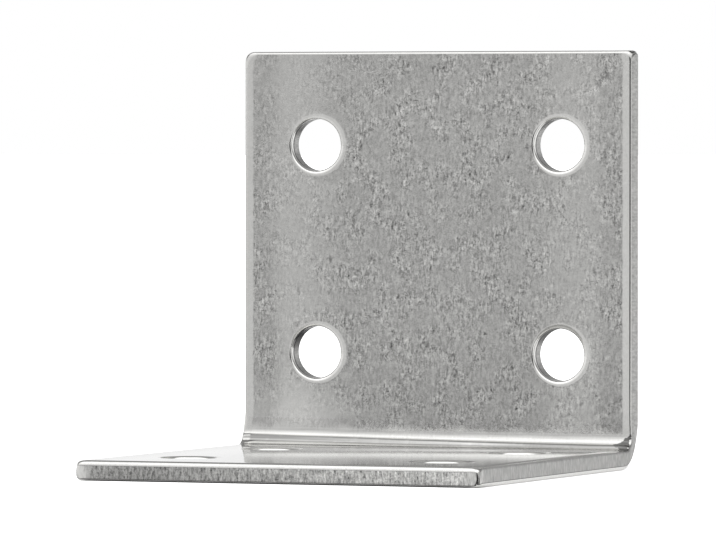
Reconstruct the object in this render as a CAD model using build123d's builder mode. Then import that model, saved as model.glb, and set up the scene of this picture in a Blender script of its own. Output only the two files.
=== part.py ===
from build123d import *
import os

# Wide angle bracket: one blank of stainless sheet, punched with eight holes and folded once.
#
# Frame: millimetres, +Z up. The bracket stands on its lower leg. The origin is the middle of
# its footprint, on the underside. The upright leg is at the back, and its back face looks
# along +Y.

# The blank and its fold
width = 40.0  # across the bracket, from one cut side to the other
leg_up = 39.8  # upright leg, from the outer corner to its top edge
leg_out = 42.0  # lower leg, from the outer corner to its front edge
thickness = 1.9  # sheet sold as 2 mm
bend_inside = 1.4  # radius that folding leaves inside the corner
bend_thinning = 0.5  # how much larger the outside radius is than in a sheet that stays even
corner_radius = 0.5  # of the four free corners, seen flat

# The screw holes, four in each leg
hole_diameter = 5.0
hole_across = 25.0  # centre to centre, across the bracket
hole_along = 20.0  # centre to centre, along a leg
hole_to_edge = 9.0  # from a leg's free edge to its nearer row of centres

# What punching and tumbling leave of the cut edges. Every cut starts at the inner face, where
# the metal is drawn down a little, and its two arrises are worn round.
roll_width = 0.75  # how far the drawn-down band reaches in over the inner face, along a side
roll_depth = 0.05  # how deep the band has sunk where it meets the worn arris
side_shoulder = 0.35  # worn arris between the inner face and a side
side_heel = 0.35  # worn arris between a side and the outer face
front_shoulder = 0.45  # the same between the inner face and the front edge, which wore most
top_shoulder = 0.3  # and between the inner face and the top edge
end_heel = 0.15  # worn arris between either end and the outer face
lip_width = 0.5  # the drawn-down band round each hole
lip_depth = 0.05
lip_shoulder = 0.35  # worn arris between that band and the bore

# What folding does to the sheet's two cut sides
cheek_height = 0.2  # how far the squeezed metal stands out beside the fold
cheek_reach = 1.5  # how far it spreads from the middle of the fold's inside
cheek_root = 0.5  # how deep in the sheet's side it starts

# Places that follow from the sizes above
half_width = width / 2
back = leg_out / 2
front = -leg_out / 2
upright_face = back - thickness  # the inner face of the upright leg
lower_face = thickness  # the upper face of the lower leg
bend_outside = bend_inside + thickness + bend_thinning
upright_holes_z = leg_up - hole_to_edge - hole_along / 2
lower_holes_y = front + hole_to_edge + hole_along / 2
fold_middle = bend_inside * (1 - 0.5**0.5)  # the fold's inside stands this far off both faces

# Room for the cuts: the untrimmed sheet is wider by the allowance at both sides, and every
# cut starts just off the face that it goes into
allowance = 2 * cheek_height
above_face = bend_inside / 4
past_side = half_width + 2 * allowance
start_z = leg_up + allowance

# Where the inner face would meet the side in a sharp arris, down the upright, through the
# fold and out to the front, and where the outer face would
with BuildLine() as inner_arris:
    down = Line(
        (half_width, upright_face, start_z),
        (half_width, upright_face, lower_face + bend_inside),
    )
    turn = TangentArc(
        down @ 1, (half_width, upright_face - bend_inside, lower_face), tangent=down % 1
    )
    Line(turn @ 1, (half_width, front - allowance, lower_face))
with BuildLine() as outer_arris:
    down = Line((half_width, back, start_z), (half_width, back, bend_outside))
    turn = TangentArc(down @ 1, (half_width, back - bend_outside, 0), tangent=down % 1)
    Line(turn @ 1, (half_width, front - allowance, 0))

# What the inner face sinks by along a side: a long shallow arc that runs on past the side.
# The rim is where it meets the worn arris.
rim = (half_width - side_shoulder, upright_face + roll_depth)
with BuildPart() as side_roll:
    with BuildSketch(Plane((0, 0, start_z))):
        with BuildLine():
            roll = TangentArc(
                (half_width - side_shoulder - roll_width, upright_face), rim, tangent=(1, 0)
            )
            run_on = PolarLine(roll @ 1, 3 * allowance, direction=roll % 1)
            Polyline(
                run_on @ 1,
                ((run_on @ 1).X, upright_face - above_face),
                ((roll @ 0).X, upright_face - above_face),
                roll @ 0,
            )
        make_face()
    sweep(path=inner_arris.line)

# The sheet folded but not yet trimmed to its width, drawn from the side: it thins as it turns
# the corner, and its two ends have their worn arrises
with BuildPart() as folded_sheet:
    with BuildSketch(Plane.YZ.offset(-half_width - allowance)) as fold:
        with BuildLine():
            Polyline(
                (front, 0),
                (back, 0),
                (back, leg_up),
                (upright_face, leg_up),
                (upright_face, lower_face),
                (front, lower_face),
                close=True,
            )
        make_face()
        rounded = (
            ((back, 0), bend_outside),
            ((upright_face, lower_face), bend_inside),
            ((front, lower_face), front_shoulder),
            ((upright_face, leg_up), top_shoulder),
            ((front, 0), end_heel),
            ((back, leg_up), end_heel),
        )
        for place, radius in rounded:
            fillet(fold.vertices().sort_by_distance(place)[0], radius=radius)
    extrude(amount=width + 2 * allowance)
    add(side_roll.part, mode=Mode.SUBTRACT)
    mirror(side_roll.part, about=Plane.YZ, mode=Mode.SUBTRACT)

# The waste along one side: what the two worn arrises lose, the straight slab past the cut,
# and the outside of the two free corners
with BuildPart() as side_waste:
    with BuildSketch(Plane((0, 0, start_z))):
        with BuildLine():
            shoulder = TangentArc(
                (half_width, upright_face + roll_depth + side_shoulder), rim, tangent=(0, -1)
            )
            Polyline(
                shoulder @ 1,
                (half_width - side_shoulder, upright_face - above_face),
                (past_side, upright_face - above_face),
                (past_side, (shoulder @ 0).Y),
                shoulder @ 0,
            )
        make_face()
    sweep(path=inner_arris.line)
    with BuildSketch(Plane((0, 0, start_z))):
        with BuildLine():
            heel = TangentArc(
                (half_width, back - side_heel), (half_width - side_heel, back), tangent=(0, 1)
            )
            Polyline(
                heel @ 1,
                ((heel @ 1).X, back + above_face),
                (past_side, back + above_face),
                (past_side, (heel @ 0).Y),
                heel @ 0,
            )
        make_face()
    sweep(path=outer_arris.line)
    with BuildSketch(Plane.YZ.offset(half_width)):
        with Locations((0, leg_up / 2)):
            Rectangle(leg_out + 2 * above_face, leg_up + 2 * allowance)
    extrude(amount=2 * allowance)
    upright_corner = Plane(
        (half_width, back + above_face, leg_up), x_dir=(1, 0, 0), z_dir=(0, -1, 0)
    )
    front_corner = Plane(
        (half_width, front, lower_face + above_face), x_dir=(1, 0, 0), z_dir=(0, 0, -1)
    )
    with BuildSketch(upright_corner, front_corner):
        with BuildLine():
            quarter = TangentArc((0, -corner_radius), (-corner_radius, 0), tangent=(0, 1))
            Polyline(
                quarter @ 1,
                (-corner_radius, allowance),
                (allowance, allowance),
                (allowance, -corner_radius),
                quarter @ 0,
            )
        make_face()
    extrude(amount=thickness + 2 * above_face)

# The punch, with the rim that it draws down into each hole. It meets the sheet's inner face
# at the local Z = 0.
with BuildPart() as punch:
    with BuildSketch(Plane.XZ):
        with BuildLine():
            lip = Line(
                (hole_diameter / 2 + lip_shoulder + lip_width, 0),
                (hole_diameter / 2 + lip_shoulder, -lip_depth),
            )
            arris = TangentArc(
                (hole_diameter / 2, -lip_depth - lip_shoulder), lip @ 1, tangent=(0, 1)
            )
            Polyline(
                arris @ 0,
                (hole_diameter / 2, -thickness - allowance),
                (0, -thickness - allowance),
                (0, above_face),
                (hole_diameter / 2 + lip_shoulder + lip_width, above_face),
                lip @ 0,
            )
        make_face()
    revolve(axis=Axis.Z)

# The metal that the fold squeezes out past one side: a low dome about the middle of the
# fold's inside, bounded by the sheet it came from
with BuildPart() as cheek:
    squeezed = (0, upright_face - fold_middle, lower_face + fold_middle)
    with BuildSketch(Plane(squeezed)):
        with BuildLine():
            crown = Spline(
                (half_width + cheek_height, 0),
                (half_width - cheek_root, cheek_reach),
                tangents=((0, 1), (-1, 0)),
            )
            Polyline(crown @ 1, (half_width - cheek_root, 0), crown @ 0)
        make_face()
    revolve(axis=Axis(squeezed, (1, 0, 0)))
    add(folded_sheet.part, mode=Mode.INTERSECT)

# The bracket: punched, trimmed on both sides, and swollen a little beside the fold
with BuildPart() as angle_bracket:
    add(folded_sheet.part)
    inner_upright = Plane((0, upright_face, upright_holes_z), x_dir=(1, 0, 0), z_dir=(0, -1, 0))
    inner_lower = Plane((0, lower_holes_y, lower_face))
    with Locations(inner_upright, inner_lower):
        with GridLocations(hole_across, hole_along, 2, 2):
            add(punch.part, mode=Mode.SUBTRACT)
    add(side_waste.part, mode=Mode.SUBTRACT)
    mirror(side_waste.part, about=Plane.YZ, mode=Mode.SUBTRACT)
    add(cheek.part)
    mirror(cheek.part, about=Plane.YZ)

angle_bracket.part.label = "angle_bracket"
os.makedirs("parts", exist_ok=True)
export_step(angle_bracket.part, "parts/angle_bracket.step")
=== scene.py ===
import math

import bmesh
import bpy
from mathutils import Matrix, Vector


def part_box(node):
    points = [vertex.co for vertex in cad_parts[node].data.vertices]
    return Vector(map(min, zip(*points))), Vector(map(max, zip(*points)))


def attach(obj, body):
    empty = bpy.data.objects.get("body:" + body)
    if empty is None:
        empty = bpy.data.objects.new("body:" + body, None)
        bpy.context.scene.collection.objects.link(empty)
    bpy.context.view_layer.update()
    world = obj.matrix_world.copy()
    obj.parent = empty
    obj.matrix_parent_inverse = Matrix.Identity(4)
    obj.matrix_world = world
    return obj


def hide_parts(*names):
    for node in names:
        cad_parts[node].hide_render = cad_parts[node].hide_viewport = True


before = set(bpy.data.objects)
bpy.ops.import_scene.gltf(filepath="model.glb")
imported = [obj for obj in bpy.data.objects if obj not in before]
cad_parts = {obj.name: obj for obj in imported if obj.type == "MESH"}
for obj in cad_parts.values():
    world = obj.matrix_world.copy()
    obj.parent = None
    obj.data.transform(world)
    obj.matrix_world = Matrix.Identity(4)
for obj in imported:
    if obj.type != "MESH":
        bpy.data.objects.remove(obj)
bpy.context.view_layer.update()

# The camera, a very long lens 0.7 m off. It stands to the right of the upright leg and a little
# below the leg's top edge, so that it sees the lower leg at a glancing angle.
mm = 0.001
camera_place = (262.33 * mm, -650.05 * mm, 32.3 * mm)
camera_turn = math.radians(22.004)  # how far it has gone round to the right
camera_dip = math.radians(1.075)  # how far it looks down

lens = bpy.data.cameras.new("camera")
lens.sensor_width = 36.0
lens.lens = 376.95
lens.clip_end = 20.0
camera = bpy.data.objects.new("camera", lens)
camera.location = camera_place
camera.rotation_euler = (math.pi / 2 - camera_dip, 0, camera_turn)
bpy.context.collection.objects.link(camera)
bpy.context.scene.camera = camera
bpy.context.scene.view_settings.view_transform = "Standard"

# The studio, a white room that lights the bracket softly from all round. It is brightest high
# up in front, has a soft strip of light at the left and is dim at the back. On the camera's
# side it has one dark opening, which the bracket's rounded edges show as dark lines.
room_unit = 3.0  # the light that a level of 1 stands for in the two lists
front_levels = (
    (0.0, 0.267),
    (0.21, 0.275),
    (0.41, 0.385),
    (0.59, 0.47),
    (0.74, 0.585),
    (0.87, 0.585),
    (0.95, 0.53),
    (0.98, 0.47),
    (0.996, 0.30),
    (1.0, 0.20),
)  # by the sine of the height above the floor, in the front half of the room
back_levels = ((0.0, 0.33), (0.16, 0.33), (0.40, 0.12), (0.85, 0.12), (1.0, 0.16))  # and behind
back_start = (-0.1, 0.15)  # sines of the direction in which the front half gives way to the back
strip_start = (0.45, 0.85)  # sines of the direction, to the left
strip_in_front, strip_front_top = 0.28, (0.1, 0.4)  # what the strip adds, and how high it ends
strip_behind, strip_back_top = 0.5, (0.1, 0.5)
opening_edge = (0.925, 0.965)  # cosines of the angle off its middle where the opening ends
opening_top = (0.15, 0.3)  # sines of the height where it ends
opening_dark = 0.95


class Wire:
    """An output in a node tree. Sums written with wires add the Math nodes that work them out.

    A wire without a socket only adds nodes to its tree.
    """

    def __init__(self, tree, socket=None):
        self.tree = tree
        self.socket = socket

    def node(self, kind, settings=None, inputs=None, output=0):
        """Adds a node: first its settings, then the values or wires of its sockets."""
        made = self.tree.nodes.new(kind)
        for name, value in (settings or {}).items():
            if name == "stops":
                ramp = made.color_ramp.elements
                while len(ramp) < len(value):
                    ramp.new(1.0)
                for element, (place, level) in zip(ramp, value):
                    element.position = place
                    element.color = (level, level, level, 1.0)
            else:
                setattr(made, name, value)
        for name, value in (inputs or {}).items():
            if isinstance(value, Wire):
                self.tree.links.new(value.socket, made.inputs[name])
            else:
                made.inputs[name].default_value = value
        return Wire(self.tree, made.outputs[output]) if made.outputs else None

    def math(self, operation, *terms):
        return self.node("ShaderNodeMath", {"operation": operation}, dict(enumerate(terms)))

    def __add__(self, other):
        return self.math("ADD", self, other)

    def __sub__(self, other):
        return self.math("SUBTRACT", self, other)

    def __rsub__(self, other):
        return self.math("SUBTRACT", other, self)

    def __mul__(self, other):
        return self.math("MULTIPLY", self, other)

    def __truediv__(self, other):
        return self.math("DIVIDE", self, other)

    def __neg__(self):
        return self.math("MULTIPLY", self, -1.0)

    __radd__ = __add__
    __rmul__ = __mul__

    def magnitude(self):
        return self.math("ABSOLUTE", self)

    def at_least(self, other):
        return self.math("MAXIMUM", self, other)

    def at_most(self, other):
        return self.math("MINIMUM", self, other)

    def towards(self, other, share):
        """Goes over to the other value by this share of the way."""
        return self + (other - self) * share

    def smooth(self, low, high):
        """0 below low, 1 above high, and a soft step between them."""
        settings = {"interpolation_type": "SMOOTHSTEP"}
        return self.node("ShaderNodeMapRange", settings, {"Value": self, 1: low, 2: high})

    def axes(self):
        """The three parts of a vector."""
        apart = self.node("ShaderNodeSeparateXYZ", inputs={0: self}).socket.node
        return [Wire(self.tree, part) for part in apart.outputs]


def to_opening(across, along):
    """The cosine of the angle between a direction and the opening, from its level parts."""
    return across * math.sin(camera_turn) - along * math.cos(camera_turn)


world = bpy.data.worlds.new("studio")
bpy.context.scene.world = world
world.use_nodes = True
world.node_tree.nodes.clear()
studio = Wire(world.node_tree)
across, along, upward = studio.node("ShaderNodeTexCoord", output="Generated").axes()
behind = along.smooth(*back_start)
strip = (-across).smooth(*strip_start)
opening = to_opening(across, along).smooth(*opening_edge)
opening = opening * (1 - upward.magnitude().smooth(*opening_top))
in_front = studio.node("ShaderNodeValToRGB", {"stops": front_levels}, {"Fac": upward}) * room_unit
in_front = in_front + strip_in_front * strip * (1 - upward.smooth(*strip_front_top))
in_front = in_front * (1 - opening_dark * opening)
at_back = studio.node("ShaderNodeValToRGB", {"stops": back_levels}, {"Fac": upward}) * room_unit
at_back = at_back + strip_behind * strip * (1 - upward.smooth(*strip_back_top))
seen = studio.node("ShaderNodeLightPath", output="Is Camera Ray")
through = studio.node("ShaderNodeLightPath", output="Is Transmission Ray")
glow = in_front.towards(at_back, behind).towards(1.0, seen.at_least(through))
background = studio.node("ShaderNodeBackground", inputs={"Color": (1, 1, 1, 1), "Strength": glow})
studio.node("ShaderNodeOutputWorld", inputs={"Surface": background})

# The floor, a wide matt white board, a little brightened so that it reads as white. Where the
# metal mirrors it, it is painted dark towards the opening, it has a painted shadow in the gap
# under the bracket's front edge, and it has a painted glow at the bracket's right.
low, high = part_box("angle_bracket")
cheek_height = 0.2 * mm  # how far the metal that the fold squeezes out stands beyond a side
half_width = high.x - cheek_height
front = low.y

floor_half = 8.0
board_tone = 0.92
board_glow = 0.7
opening_painted_on_floor = 0.85  # how much painted dark the board gets towards the opening, seen only in reflections
# a painted glow at the bracket's right, an emission seen only in reflections
painted_glow_strength = 0.2
painted_glow_way = (0.93, 0.37)  # the level direction in which the painted glow lies
painted_glow_start = (10.5 * mm, 13.0 * mm)  # how far off it begins
# a painted contact shadow under the front edge, seen only in reflections
gap_shadow_depth = 0.9
gap_shadow_end = (0.2 * mm, 1.6 * mm)  # how far in front of the bracket the painted shadow in the gap ends
gap_shadow_sides = (18.5 * mm, 20.0 * mm)  # and how far from the bracket's middle

floor_mesh = bpy.data.meshes.new("floor")
quarters = ((-1, -1), (1, -1), (1, 1), (-1, 1))
board_corners = [(x * floor_half, y * floor_half, 0) for x, y in quarters]
floor_mesh.from_pydata(board_corners, [], [(0, 1, 2, 3)])
floor = bpy.data.objects.new("floor", floor_mesh)
bpy.context.collection.objects.link(floor)

floor_paint = bpy.data.materials.new("floor_paint")
floor_paint.use_nodes = True
floor_paint.node_tree.nodes.clear()
board = Wire(floor_paint.node_tree)
seen = board.node("ShaderNodeLightPath", output="Is Camera Ray")
mirrored = board.node("ShaderNodeLightPath", output="Is Glossy Ray")
ground = board.node("ShaderNodeTexCoord", output="Object")
ground_x, ground_y, _ = ground.axes()
near_corner = {0: ground, 1: (half_width, front, 0)}
from_corner = board.node("ShaderNodeVectorMath", {"operation": "SUBTRACT"}, near_corner)
way = board.node("ShaderNodeVectorMath", {"operation": "NORMALIZE"}, {0: from_corner})
across, along, _ = way.axes()
opening = to_opening(across, along).smooth(*opening_edge)
painted_glow = (ground_x * painted_glow_way[0] + ground_y * painted_glow_way[1]).smooth(*painted_glow_start)
painted_glow = painted_glow * mirrored * (1 - opening)
gap_shadow = (1 - (front - ground_y).smooth(*gap_shadow_end)) * (1 - ground_x.magnitude().smooth(*gap_shadow_sides))
# Painted dark towards the opening and a painted shadow in the gap, both seen only in reflections
tone = board_tone - opening_painted_on_floor * opening * mirrored
tone = tone * (1 - gap_shadow_depth * gap_shadow * mirrored)
grey = board.node("ShaderNodeCombineColor", inputs={0: tone, 1: tone, 2: tone})
matt = board.node("ShaderNodeBsdfDiffuse", inputs={"Color": grey})
# the board's even glow for the camera, and the painted glow seen in reflections
strength = seen * board_glow + painted_glow * painted_glow_strength
light = board.node("ShaderNodeEmission", inputs={"Color": (1, 1, 1, 1), "Strength": strength})
both = board.node("ShaderNodeAddShader", inputs={0: matt, 1: light})
board.node("ShaderNodeOutputMaterial", inputs={"Surface": both})
floor_mesh.materials.append(floor_paint)

# The bracket, one blank of stainless sheet, punched with eight screw holes, folded once and
# tumbled. Its mesh is laid out flat, as the blank is, and then folded by one rule, so its worn
# edges, its holes and its finish all follow the sheet round the fold.
#
# On the blank, u runs across the bracket, v from the front edge to the top edge, and depth from
# the inner face, which is 0, to the outer one. Each point also says how polished (rim) and how
# torn (cut) its metal is.
back, top = high.y, high.z
sheet = 1.9 * mm
bend_inside = 1.4 * mm
bend_outside = 3.8 * mm
corner_radius = 0.4 * mm  # of the free corners, halfway through the sheet
hole_radius = 2.5 * mm
hole_across = 25.0 * mm
hole_along = 20.0 * mm
hole_to_edge = 9.0 * mm

fold_start = back - sheet - bend_inside - front  # the fold starts where the flat lower leg ends
bend_arc = bend_inside * math.pi / 2
fold_end = fold_start + bend_arc
upper_length = top - sheet - bend_inside
blank_length = fold_end + upper_length

rim_width = 1.6 * mm  # the strip inside the outline that the sections of the edges lie in
face_step = 0.45 * mm  # between two lines of points on the faces
fold_step = 0.045 * mm  # and round the fold
fold_margin = 1.2 * mm  # how far the close lines run on past the fold
cell = 4.5 * mm  # half the side of the square that is kept free round a hole
slack = 0.0001 * mm  # for comparing places


def divide(places, step):
    """The places given, and others spread evenly between them about one step apart."""
    lines = [places[0]]
    for a, b in zip(places, places[1:]):
        count = max(1, round((b - a) / step))
        lines += [a + (b - a) * (i + 1) / count for i in range(count)]
    return lines


hole_u = (-hole_across / 2, hole_across / 2)
hole_v = [hole_to_edge, hole_to_edge + hole_along]
hole_v += [blank_length - v for v in reversed(hole_v)]
cells_u = [u + side for u in hole_u for side in (-cell, cell)]
cells_v = [v + side for v in hole_v for side in (-cell, cell)]
close_from, close_to = fold_start - fold_margin, fold_end + fold_margin
edge_u = half_width - rim_width
lines_u = divide([-edge_u, *cells_u, edge_u], face_step)
lines_v = divide([rim_width, *cells_v[:4], close_from], face_step)
lines_v += divide([close_from, fold_start, fold_end, close_to], fold_step)[1:]
lines_v += divide([close_to, *cells_v[4:], blank_length - rim_width], face_step)[1:]

blank = bmesh.new()
flat_place = blank.verts.layers.float_vector.new("blank")
rim_amount = blank.verts.layers.float.new("rim")
cut_amount = blank.verts.layers.float.new("cut")


def add_point(u, v, depth, rim=0.0, cut=0.0):
    point = blank.verts.new((u, v, depth))
    point[rim_amount] = rim
    point[cut_amount] = cut
    return point


def add_face(*points):
    """A face on these points, each taken once, unless only two are left."""
    points = list(dict.fromkeys(points))
    if len(points) > 2:
        blank.faces.new(points)


def join(loops):
    """A band of faces between each closed loop of points and the next."""
    for one, other in zip(loops, loops[1:]):
        for i in range(len(one)):
            j = (i + 1) % len(one)
            add_face(one[i], one[j], other[j], other[i])


# The two faces, a grid of points each, with a square left free for every hole
def in_a_cell(u, v):
    reach = cell - slack
    return any(abs(u - cu) < reach and abs(v - cv) < reach for cu in hole_u for cv in hole_v)


def face_grid(depth):
    """One face's points, by the numbers of the two lines that each lies on."""
    grid = {}
    for i, u in enumerate(lines_u):
        for j, v in enumerate(lines_v):
            if not in_a_cell(u, v):
                grid[i, j] = add_point(u, v, depth)
    for i in range(len(lines_u) - 1):
        for j in range(len(lines_v) - 1):
            middle = ((lines_u[i] + lines_u[i + 1]) / 2, (lines_v[j] + lines_v[j + 1]) / 2)
            if not in_a_cell(*middle):
                add_face(grid[i, j], grid[i + 1, j], grid[i + 1, j + 1], grid[i, j + 1])
    return grid


inner_grid, outer_grid = face_grid(0.0), face_grid(sheet)

# The cut edges. Punching draws the inner face down in a shallow roll and tears the sheet below
# it, and tumbling rounds the shoulder between the two and the heel at the outer face.
roll_steps, shoulder_steps, heel_steps = 8, 8, 7
cut_stations = (0.5, 0.65, 0.8, 0.9)  # shares of the torn part's height that get points
thin_seam = 0.09 * mm  # the line at either end of the torn part, where no other width is given, along which the finish paints a dark line of shade


def edge_section(roll, roll_turn, shoulder, lean, heel, polish, wear, fade=1, seam=thin_seam):
    """Points from the inner face to the outer one: how far in, how deep, how polished, how torn.

    roll, shoulder and heel are radii, roll_turn is the angle that the roll turns through and
    lean the slope of the torn part, both in degrees. polish is how polished the roll's end is,
    reached later if fade is higher, and wear how polished the shoulder's end is, where the rest
    is torn. seam is how wide the line under the shoulder is in which that gives way to the tear.
    """
    roll_turn, lean = math.radians(roll_turn), math.radians(lean)
    arcs_deep = roll * (1 - math.cos(roll_turn))
    arcs_deep += shoulder * (math.cos(roll_turn) - math.cos(lean))
    arcs_deep += heel * (math.cos(lean) + 1)
    straight = (sheet - arcs_deep) / math.sin(lean)
    points = [(0.0, 0.0, 0.0, 0.0)]

    def add_arc(radius, first, last, steps, rim_at, cut_at=lambda t: 0.0):
        out, deep = points[-1][:2]
        for step in range(1, steps + 1):
            angle = first + (last - first) * step / steps
            out_there = out + radius * (math.sin(angle) - math.sin(first))
            deep_there = deep + radius * (math.cos(first) - math.cos(angle))
            points.append((out_there, deep_there, rim_at(step / steps), cut_at(step / steps)))

    def shoulder_rim(t):
        return polish + (wear - polish) * t

    def shoulder_cut(t):
        return (1 - wear) * t

    add_arc(roll, 0.0, roll_turn, roll_steps, lambda t: polish * t**fade)
    add_arc(shoulder, roll_turn, lean, shoulder_steps, shoulder_rim, shoulder_cut)
    out, deep = points[-1][:2]
    for t in (seam / straight, *cut_stations, 1 - thin_seam / straight, 1.0):
        rim = 1.0 if t == 1.0 else 0.0
        there = (out + straight * t * math.cos(lean), deep + straight * t * math.sin(lean))
        points.append((*there, rim, 1 - rim))
    add_arc(heel, lean, math.pi, heel_steps, lambda t: 1 - t**3)
    widest = max(point[0] for point in points)
    return [(widest - out, deep, rim, cut) for out, deep, rim, cut in points]


# The holes: from each square's sides in to the round lip, down the bore, and out to the square
# on the outer face
lip = edge_section(
    roll=1.9 * mm,
    roll_turn=12,
    shoulder=0.34 * mm,
    lean=90,
    heel=0.1 * mm,
    polish=0.7,
    wear=1.0,
    fade=3,
    seam=0.36 * mm,
)
lip_lopsided = 0.42  # the share by which the lip is wider at its right, and narrower at its left
lip_loops = 5  # bands of faces between the square and the lip
lip_crowding = 0.8  # below 1, so the bands get narrower towards the lip
shares = [(step / lip_loops) ** lip_crowding for step in range(1, lip_loops)]


def cell_lines(lines, middle):
    """The numbers of the lines that bound or cross the square round a hole."""
    return [k for k, place in enumerate(lines) if abs(place - middle) < cell + slack]


def ring_of(columns, rows):
    """Grid places round a rectangle, counterclockwise from its low corner."""
    ring = [(i, rows[0]) for i in columns[:-1]]
    ring += [(columns[-1], j) for j in rows[:-1]]
    ring += [(i, rows[-1]) for i in reversed(columns[1:])]
    ring += [(columns[0], j) for j in reversed(rows[1:])]
    return ring


def hole_loop(middle, ways, share, inset, depth, rim=0.0, cut=0.0):
    """A loop this share of the way in from the square to the lip's point with this inset."""
    loop = []
    for du, dv in ways:
        far = math.hypot(du, dv)
        reach = (hole_radius + inset * (1 + lip_lopsided * du / far)) / far
        scale = 1 - share + share * reach
        loop.append(add_point(middle[0] + du * scale, middle[1] + dv * scale, depth, rim, cut))
    return loop


for middle in [(cu, cv) for cu in hole_u for cv in hole_v]:
    ring = ring_of(cell_lines(lines_u, middle[0]), cell_lines(lines_v, middle[1]))
    ways = [(lines_u[i] - middle[0], lines_v[j] - middle[1]) for i, j in ring]
    loops = [[inner_grid[place] for place in ring]]
    loops += [hole_loop(middle, ways, share, lip[0][0], 0.0) for share in shares]
    loops += [hole_loop(middle, ways, 1.0, *point) for point in lip]
    loops += [hole_loop(middle, ways, share, lip[-1][0], sheet) for share in reversed(shares)]
    loops.append([outer_grid[place] for place in ring])
    join(loops)

# The outline: two sides, the front and the top edge, and the four free corners between them,
# which tumbling has rounded most near the two faces
side_edge = edge_section(
    roll=5.7 * mm,
    roll_turn=7.6,
    shoulder=0.34 * mm,
    lean=88,
    heel=0.36 * mm,
    polish=0.4,
    wear=0.0,
    seam=0.14 * mm,
)
front_edge = edge_section(
    roll=8.0 * mm, roll_turn=3, shoulder=0.45 * mm, lean=89, heel=0.15 * mm, polish=0.0, wear=1.0
)
top_edge = edge_section(
    roll=8.0 * mm, roll_turn=3, shoulder=0.30 * mm, lean=89, heel=0.14 * mm, polish=0.0, wear=1.0
)
columns, rows = range(len(lines_u)), range(len(lines_v))
edges = (
    ([(i, 0) for i in columns], -math.pi / 2, front_edge),
    ([(columns[-1], j) for j in rows], 0.0, side_edge),
    ([(i, rows[-1]) for i in reversed(columns)], math.pi / 2, top_edge),
    ([(0, j) for j in reversed(rows)], math.pi, side_edge),
)  # each with its grid places, the way that it faces and its section
corner_steps = 8
corner_sizes = (1.0, 1.0, 1.6, 1.0)  # front right, top right, top left and front left
corner_spread = 1.2  # by how much a corner's radius is larger at either face
worn_turn = 1.0  # radians of a corner's turn that wear has polished
worn_depth = 0.3 * mm  # how deep that polish is at its full
worn_polish = 0.8
worn_cut = 0.9  # how much of the tear it takes away


def outline_loop(layer):
    """Points round the outline at one place of its sections, counterclockwise."""
    loop = []
    for number, (stations, facing, section) in enumerate(edges):
        inset, deep, rim, cut = section[layer]
        next_inset, next_deep, next_rim, next_cut = edges[(number + 1) % 4][2][layer]
        sine, cosine = math.sin(facing), math.cos(facing)
        out, next_out = rim_width - inset, rim_width - next_inset
        for i, j in stations:
            u, v = lines_u[i] + out * cosine, lines_v[j] + out * sine
            loop.append(add_point(u, v, deep, rim, cut))
        i, j = stations[-1]
        for step in range(corner_steps + 1):
            t = step / corner_steps
            turn = math.pi / 2 * t
            depth = deep + (next_deep - deep) * math.sin(turn) ** 2
            to_face = abs(depth / sheet - 0.5) * 2
            radius = corner_radius * (1 + corner_spread * to_face**2) * corner_sizes[number]
            radius = min(radius, out, next_out)
            ahead = out - radius + radius * math.cos(turn)
            aside = next_out - radius + radius * math.sin(turn)
            u = lines_u[i] + ahead * cosine - aside * sine
            v = lines_v[j] + ahead * sine + aside * cosine
            worn = math.sin(math.pi * min(turn / worn_turn, 1.0)) ** 2
            worn *= min(depth / worn_depth, 1.0)
            rim_here = rim + (next_rim - rim) * t
            rim_here += (1 - rim_here) * worn * worn_polish
            cut_here = (cut + (next_cut - cut) * t) * (1 - worn_cut * worn)
            loop.append(add_point(u, v, depth, rim_here, cut_here))
    return loop


def grid_outline(grid):
    """A face's own outline, with each corner point as often as an outline loop has one there."""
    loop = []
    for stations, _, _ in edges:
        loop += [grid[place] for place in stations]
        loop += [grid[stations[-1]]] * (corner_steps + 1)
    return loop


layers = [outline_loop(layer) for layer in range(len(side_edge))]
join([grid_outline(inner_grid), *layers, grid_outline(outer_grid)])

merge_within = 0.002 * mm
bmesh.ops.remove_doubles(blank, verts=blank.verts, dist=merge_within)
for point in blank.verts:
    point[flat_place] = point.co
bmesh.ops.recalc_face_normals(blank, faces=blank.faces)
blank_mesh = bpy.data.meshes.new("wide_angle_bracket")
blank.to_mesh(blank_mesh)
blank.free()
blank_mesh.shade_smooth()

# The fold, a tree that takes each point of the blank to its place on the bracket. The lower leg
# stays flat, and the rest is wound round the inside of the corner and carried on straight up.
fold = bpy.data.node_groups.new("fold_the_blank", "GeometryNodeTree")
sizes = {
    "Fold Starts At": fold_start,
    "Inside Radius": bend_inside,
    "Outside Radius": bend_outside,
    "Sheet": sheet,
    "Front": front,
    "Cheek Height": cheek_height,
    "Half Width": half_width,
}
fold.interface.new_socket("Geometry", in_out="INPUT", socket_type="NodeSocketGeometry")
for name in sizes:
    fold.interface.new_socket(name, in_out="INPUT", socket_type="NodeSocketFloat")
fold.interface.new_socket("Finish", in_out="INPUT", socket_type="NodeSocketMaterial")
fold.interface.new_socket("Geometry", in_out="OUTPUT", socket_type="NodeSocketGeometry")
bend = Wire(fold)
flat = bend.node("NodeGroupInput", output="Geometry")


def size(name):
    return Wire(fold, flat.socket.node.outputs[name])


flat_point = bend.node("GeometryNodeInputPosition")
u, v, depth = flat_point.axes()
inside, outside = size("Inside Radius"), size("Outside Radius")
arc_length = inside * (math.pi / 2)
past_start = v - size("Fold Starts At")
past_end = past_start - arc_length
on_lower, on_upright = past_start.at_most(0.0), past_end.at_least(0.0)
angle = (past_start / inside).at_least(0.0).at_most(math.pi / 2)
sine, cosine = bend.math("SINE", angle), bend.math("COSINE", angle)

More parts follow.
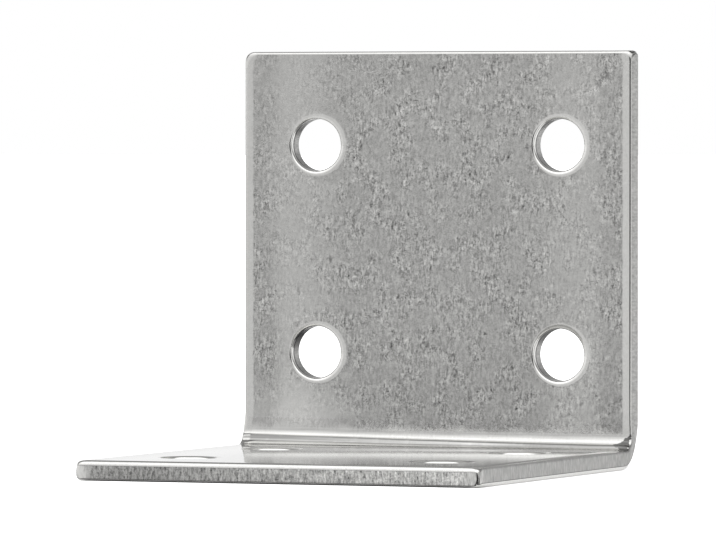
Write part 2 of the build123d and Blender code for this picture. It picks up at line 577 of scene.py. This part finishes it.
# The outside round is struck from its own centre, so the sheet is thinner in the turn: its
# depth is stretched to where a ray from the inside's centre meets that round.
shift = outside - inside - size("Sheet")
gap_y = -shift - on_lower.at_least(-shift)
gap_z = shift - on_upright.at_most(shift)
along_ray = gap_y * sine - gap_z * cosine
under_root = along_ray * along_ray - gap_y * gap_y - gap_z * gap_z + outside * outside
to_round = along_ray + bend.math("SQRT", under_root)
thinned = (to_round - inside) / size("Sheet")

# The folding tool stood a little askew. Its nose left a fine ridge along the inside of the fold,
# which climbs towards the left and gets stronger there, and a shallow groove below it. Towards
# the left, the upright also leans a little into the fold.
ridge_middle = 0.508  # the share of the fold at which the ridge crosses the bracket's middle
ridge_climb = 153.0 * mm  # the width in which it would climb by the whole fold
ridge_waver = 0.16 * mm
wavers_per_metre = 120.0
ridge_above, ridge_below = 0.28 * mm, 0.26 * mm  # its width to either side
ridge_height = 0.135 * mm
ridge_gain = 0.001  # how fast it grows towards the left
groove_below = 1.4  # how many widths under the ridge the groove lies
groove_depth = 0.014 * mm
lean_depth = 0.17 * mm
lean_left = (1.0 * mm, 17.0 * mm)
lean_start = -0.6 * mm
lean_full = 0.75  # the share of the fold at which the lean is full
lean_end = (-0.6 * mm, 1.2 * mm)  # past the fold's end
ripple_end = 0.4 * mm  # how far below the inner face all this has died away


def ridge_up(place, u, arc):
    """How far past the start of the fold the ridge lies."""
    inputs = {"Vector": place, "Scale": wavers_per_metre, "Detail": 3.0}
    waver = place.node("ShaderNodeTexNoise", inputs=inputs) - 0.5
    return arc * (ridge_middle - u / ridge_climb) + waver * ridge_waver


def bell(wire):
    """1 where the wire is 0, falling away on both sides of it."""
    return wire.math("EXPONENT", -(wire * wire))


past_ridge = past_start - ridge_up(flat_point, u, arc_length)
widths_past = past_ridge.at_least(0.0) / ridge_above + past_ridge.at_most(0.0) / ridge_below
ridge = bell(widths_past) * (ridge_height - u * ridge_gain)
groove = bell(widths_past + groove_below) * groove_depth
leaning = (-u).smooth(*lean_left) * lean_depth * (1 - past_end.smooth(*lean_end))
leaning = leaning * past_start.smooth(lean_start, arc_length * lean_full)
ripple = (groove - ridge - leaning) * (1 - depth.smooth(0.0, ripple_end))
radius = inside + depth * thinned + ripple
y = size("Front") + size("Fold Starts At") + radius * sine + on_lower
z = size("Sheet") + inside - radius * cosine + on_upright

# Beside the fold, the metal inside is squeezed out past the sides, more at the left, and the
# metal outside is drawn in.
squeeze_middle, squeeze_tilt = 0.62, 0.36  # shares of the cheek height
squeeze_along, squeeze_deep = (0.6 * mm, 3.2 * mm), (0.2 * mm, 1.6 * mm)
drawn_in = 0.17 * mm
drawn_along, drawn_deep = (0.3 * mm, 2.2 * mm), (0.5 * mm, 1.9 * mm)
swollen_strip = (0.2 * mm, 2.2 * mm)  # how far in from a side all this reaches
near_side = 1 - (size("Half Width") - u.magnitude()).smooth(*swollen_strip)
off_fold = (past_start - arc_length * 0.5).magnitude()
side = bend.math("SIGN", u)
squeeze = (1 - off_fold.smooth(*squeeze_along)) * (1 - depth.smooth(*squeeze_deep))
squeeze = squeeze * (squeeze_middle - squeeze_tilt * side)
draw = (1 - off_fold.smooth(*drawn_along)) * depth.smooth(*drawn_deep)
x = u + side * near_side * (squeeze * size("Cheek Height") - draw * drawn_in)
folded_point = bend.node("ShaderNodeCombineXYZ", inputs={0: x, 1: y, 2: z})
moves = {"Geometry": flat, "Position": folded_point}
moved = bend.node("GeometryNodeSetPosition", inputs=moves)
real = bend.node("GeometryNodeRealizeInstances", inputs={0: moved})
dressing = {"Geometry": real, "Material": size("Finish")}
dressed = bend.node("GeometryNodeSetMaterial", inputs=dressing)
bend.node("NodeGroupOutput", inputs={0: dressed})

# The finish. Rolling and tumbling leave the faces dull and mottled, the tool has burnished the
# fold, wear has polished the rolls and the arrises, and the cut is torn and streaked. Every
# pattern is placed on the blank, and so follows the sheet round the fold. Some tones below are
# painted light and shade, and are named so where they are made.
stainless = bpy.data.materials.new("tumbled_stainless")
stainless.use_nodes = True
stainless.node_tree.nodes.clear()
steel = Wire(stainless.node_tree)
blank_point = steel.node("ShaderNodeAttribute", {"attribute_name": "blank"}, output="Vector")
rim = steel.node("ShaderNodeAttribute", {"attribute_name": "rim"}, output="Fac")
cut = steel.node("ShaderNodeAttribute", {"attribute_name": "cut"}, output="Fac")
u, v, depth = blank_point.axes()
past_start = v - fold_start
past_end = past_start - bend_arc
off_middle = u.magnitude()
to_right = u / half_width


def noise(per_metre, stretch=(1, 1, 1), detail=2.0, roughness=0.5, offset=(0, 0, 0), distortion=0.0):
    """Noise about 0, with this many waves to the metre. A small stretch draws it out that way."""
    settings = {"Vector": blank_point, "Scale": stretch, "Location": offset}
    inputs = {
        "Vector": steel.node("ShaderNodeMapping", inputs=settings),
        "Scale": per_metre,
        "Detail": detail,
        "Roughness": roughness,
        "Distortion": distortion,
    }
    return steel.node("ShaderNodeTexNoise", inputs=inputs) - 0.5


# The faces, mottled in patches. There is a brighter band towards each side, calmer than the rest,
# whose brightness is a painted reflection of the plate's slight curve. The upright also has
# painted light high up and at its left foot, and painted shade low down.
face_tone = 0.392
cloud_depth = 0.05
# painted reflection in the band towards each side
band_painted_reflection = 0.085
band_start, band_end = (9.0 * mm, 14.2 * mm), (15.5 * mm, 17.8 * mm)
band_waver = 1.6 * mm
band_strength, band_tilt = 0.9, 130 * mm  # on average, and the width in which it would fall by 1
upper_painted_light = 0.036  # painted light high up the upright
upper_start = (20 * mm, 34 * mm)
low_painted_shade = 0.045  # painted shade on the lower leg and low on the upright, outside the bands
low_end = (2 * mm, 16 * mm)
foot_painted_light = 0.10  # painted light at the left, up to just above the fold, where it mirrors the brighter leg
foot_left, foot_end = (4 * mm, 13 * mm), (1 * mm, 6 * mm)
quiet_left, quiet_start = (6 * mm, 12 * mm), (26 * mm, 33 * mm)  # the upright's upper left
grain_depth, fleck_depth = 2.1, 1.5
patch_edge = (-0.12, 0.12)
mottle_least, mottle_more = 0.45, 0.75  # outside the patches, and what they add
band_calm, foot_calm, quiet_calm = 0.45, 0.6, 0.4

grain = noise(3600.0, roughness=0.6, distortion=1.2)
flecks = noise(2600.0, (1.6, 0.5, 1), detail=1.0, offset=(0.3, 0.1, 0), distortion=0.8)
cloud = noise(260.0, detail=3.0, roughness=0.55)
patches = noise(420.0, offset=(0.7, 0.2, 0)).smooth(*patch_edge)
across_band = off_middle + noise(320.0, (1, 0.4, 1)) * band_waver
band = across_band.smooth(*band_start) * (1 - across_band.smooth(*band_end))
band = band * (band_strength - u / band_tilt)
low_middle = (1 - past_start.smooth(*low_end)) * (1 - band)
upper = past_start.smooth(*upper_start)
foot = (1 - past_end.smooth(*foot_end)) * (-u).smooth(*foot_left)
quiet = past_start.smooth(*quiet_start) * (-u).smooth(*quiet_left)
# Painted reflection in the bands, painted light high up and at the left foot, painted shade low down
shade = face_tone + band_painted_reflection * band + upper_painted_light * upper + cloud * cloud_depth
shade = shade - low_painted_shade * low_middle + foot_painted_light * foot
mottle = (grain * grain_depth + flecks * fleck_depth) * (mottle_least + mottle_more * patches)
mottle = mottle * (1 - band_calm * band) * (1 - foot_calm * foot) * (1 - quiet_calm * quiet)

# The fold, drawn out in fine lines across the bracket. It has painted shade below the tool's
# ridge, a painted dark line of shade along the ridge, and painted light where it meets the
# lower leg.
fold_tone = 0.60
burnish_start, burnish_end = (-0.8 * mm, 0.0), (-0.1 * mm, 0.7 * mm)
burnish_waver = 0.9 * mm
burnish_deep = (0.2 * mm, 0.8 * mm)
right_part = (4 * mm, 12 * mm)  # how far right the fold begins to look different
# painted shade below the ridge, more at the right
below_ridge_painted_shade, below_ridge_painted_shade_right = 0.25, 0.08
below_edge, below_shift = (-0.34 * mm, -0.02 * mm), 0.14 * mm  # off the ridge, and up at the right
leg_painted_light, leg_painted_light_lost = 0.33, 0.25  # painted light at the leg, and what of it is lost at the right
leg_edge = (0.3 * mm, 0.8 * mm)
# a painted dark line of shade along the ridge's upper flank, where it mirrors dark
ridge_line_shade_depth = 0.62
ridge_line_up, ridge_line_edge = 0.04 * mm, (0.05 * mm, 0.21 * mm)
line_depth = 0.45
burnish_calm = 0.9  # how much of the mottle is lost

right = u.smooth(*right_part)
past_burnish = past_end + noise(500.0, detail=1.0) * burnish_waver
burnished = past_start.smooth(*burnish_start) * (1 - past_burnish.smooth(*burnish_end))
burnished = burnished * (1 - depth.smooth(*burnish_deep))
drawn = noise(5200.0, (0.035, 1, 1), roughness=0.6, offset=(0.5, 0.3, 0))
past_ridge = past_start - ridge_up(blank_point, u, bend_arc)
off_leg = past_start.smooth(*leg_edge)
below_ridge = 1 - (past_ridge - right * below_shift).smooth(*below_edge)
ridge_line_shade = 1 - (past_ridge - ridge_line_up).magnitude().smooth(*ridge_line_edge)
fold_shade = fold_tone - (below_ridge_painted_shade + below_ridge_painted_shade_right * right) * below_ridge * off_leg
fold_shade = fold_shade + (leg_painted_light - leg_painted_light_lost * right) * (1 - off_leg)
fold_shade = fold_shade * (1 - ridge_line_shade_depth * ridge_line_shade)
lines = drawn * line_depth * burnished
shade = shade.towards(fold_shade, burnished) * (1 + mottle * (1 - burnish_calm * burnished) + lines)

# The rolls and the worn arrises, polished
roll_tone = 0.61
roll_slope = 0.03
worn_gain = 0.16
worn_edge = (0.45, 0.95)
roll_edge, roll_waver = (0.0, 0.10), 0.12
roll_grain = 0.3
rolled = (rim + noise(900.0, detail=1.0) * roll_waver).smooth(*roll_edge)
polished = roll_tone + roll_slope * to_right + worn_gain * rim.smooth(*worn_edge)
shade = shade.towards(polished * (1 + grain * roll_grain), rolled)

# The torn cut, streaked through the sheet, with a painted dark line of shade along the polished
# arrises. The front edge is coarser and has painted light that grows to the right, and its two
# ends are worn smooth.
cut_tone, cut_slope = 0.378, 0.012
front_reach = 1.5 * mm
# painted light on the front edge, growing to the right
front_gain, front_painted_light_slope = 0.045, 0.17
front_left, front_left_gain = (12 * mm, 18 * mm), 0.07
end_start, end_waver = (17.8 * mm, 19.6 * mm), 1.2 * mm
end_gain = 0.19  # twice as much at the left end, and none at the right one
streak_depth = 1.6
front_streaks, front_grain = 1.4, 1.9
cut_edge, seam_edge = (0.2, 0.8), (0.3, 0.9)
# the painted dark line of shade along the seams, and how much of it the front's upper part loses
seam_shade_depth, seam_shade_softened = 0.9, 0.55
seam_upper = (0.6 * mm, 1.2 * mm)  # how deep the softer part of the front's seams ends

streaks = noise(4200.0, (1, 1, 0.28), detail=3.0, roughness=0.65, offset=(0.2, 0.5, 0.1))
on_front = 1 - v.smooth(0.0, front_reach)
at_end = (off_middle + noise(1500.0) * end_waver).smooth(*end_start)
front_more = front_gain + front_painted_light_slope * to_right + front_left_gain * (-u).smooth(*front_left)
coarse = (streaks * front_streaks + grain * front_grain) * on_front * (1 - at_end)
torn = cut_tone + cut_slope * to_right + front_more * on_front
torn = torn * (1 + streaks * streak_depth + coarse)
torn = torn + at_end * on_front * (end_gain - end_gain * to_right)
cut_face = cut.smooth(*cut_edge)
soft_seam = on_front * (1 - depth.smooth(*seam_upper))
painted_seam_shade = (4 * rim * cut).smooth(*seam_edge) * (seam_shade_depth - seam_shade_softened * soft_seam)
shade = shade.towards(torn, cut_face) * (1 - painted_seam_shade)

# A painted dark wedge of shade, streaked with fine lines, that runs in from the right end of the
# fold to a point, where the squeezed corner mirrors dark
wedge_shade_tone, wedge_shade_lines = 0.12, 3
wedge_shade_high, wedge_shade_long = 1.15 * mm, 1.5 * mm
wedge_shade_low, wedge_shade_in = 0.1 * mm, 0.4 * mm  # how far under the fold's middle, and in from the side
wedge_shade_high_waver, wedge_shade_long_waver = 0.5 * mm, 0.8 * mm
wedge_shade_start = (0.16 * mm, 0.28 * mm)
wedge_shade_deep = (0.15 * mm, 0.4 * mm)
wedge_shade_edge = (0.0, 0.12)
right_half = (-1 * mm, 1 * mm)
up_fold = past_start - bend_arc / 2 + noise(2200.0, offset=(0.4, 0, 0)) * wedge_shade_high_waver
from_side = half_width - off_middle
from_side = from_side + noise(2400.0, (1, 2.0, 1), offset=(0.1, 0, 0)) * wedge_shade_long_waver
wedge = 1 - (up_fold + wedge_shade_low).magnitude() / wedge_shade_high - (from_side - wedge_shade_in) / wedge_shade_long
painted_wedge_shade = (wedge * u.smooth(*right_half)).smooth(*wedge_shade_edge)
painted_wedge_shade = painted_wedge_shade * from_side.smooth(*wedge_shade_start) * (1 - depth.smooth(*wedge_shade_deep))
shade = shade.towards(wedge_shade_tone * (1 + drawn * wedge_shade_lines), painted_wedge_shade)

# How rough the metal is, and its relief, which is fainter on the lower leg
face_rough, lower_smoother, grain_rough = 0.08, 0.025, 0.05
roll_rough, cut_rough = 0.13, 0.38
lower_relief = 0.15
fleck_relief, streak_relief = 0.8, 1.5
relief_strength, relief_height = 0.5, 0.004 * mm
green_share, blue_share = 0.995, 0.972  # of the red, so the steel is a little warm

up_plate = past_start.smooth(0.0, bend_arc)
rough = face_rough - lower_smoother * (1 - up_plate) + grain * grain_rough
rough = rough.towards(roll_rough, rolled).towards(cut_rough, cut_face)
relief = (grain * (1 - cut_face) + flecks * fleck_relief) * (1 - rolled)
relief = relief * (lower_relief + (1 - lower_relief) * up_plate)
relief = relief + streaks * cut_face * streak_relief
bumps = {"Strength": relief_strength, "Distance": relief_height, "Height": relief}
bump = steel.node("ShaderNodeBump", inputs=bumps)
warmth = {0: shade, 1: shade * green_share, 2: shade * blue_share}
tint = steel.node("ShaderNodeCombineColor", inputs=warmth)
surface = {"Base Color": tint, "Metallic": 1.0, "Roughness": rough, "Normal": bump}
metal = steel.node("ShaderNodeBsdfPrincipled", inputs=surface)
steel.node("ShaderNodeOutputMaterial", inputs={"Surface": metal})

# The bracket stands by itself. Its blank is folded, kept as a plain mesh and put in the place
# of the solid.
bracket = bpy.data.objects.new("wide_angle_bracket", blank_mesh)
bpy.context.collection.objects.link(bracket)
folding = bracket.modifiers.new("fold", "NODES")
folding.node_group = fold
group_inputs = [item for item in fold.interface.items_tree if item.in_out == "INPUT"]
sockets = {item.name: item.identifier for item in group_inputs}
for name, value in sizes.items():
    folding[sockets[name]] = value
folding[sockets["Finish"]] = stainless
bpy.context.view_layer.update()
evaluated = bracket.evaluated_get(bpy.context.evaluated_depsgraph_get())
folded_mesh = bpy.data.meshes.new_from_object(evaluated)
bracket.modifiers.remove(folding)
bracket.data = folded_mesh
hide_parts("angle_bracket")
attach(bracket, "root")
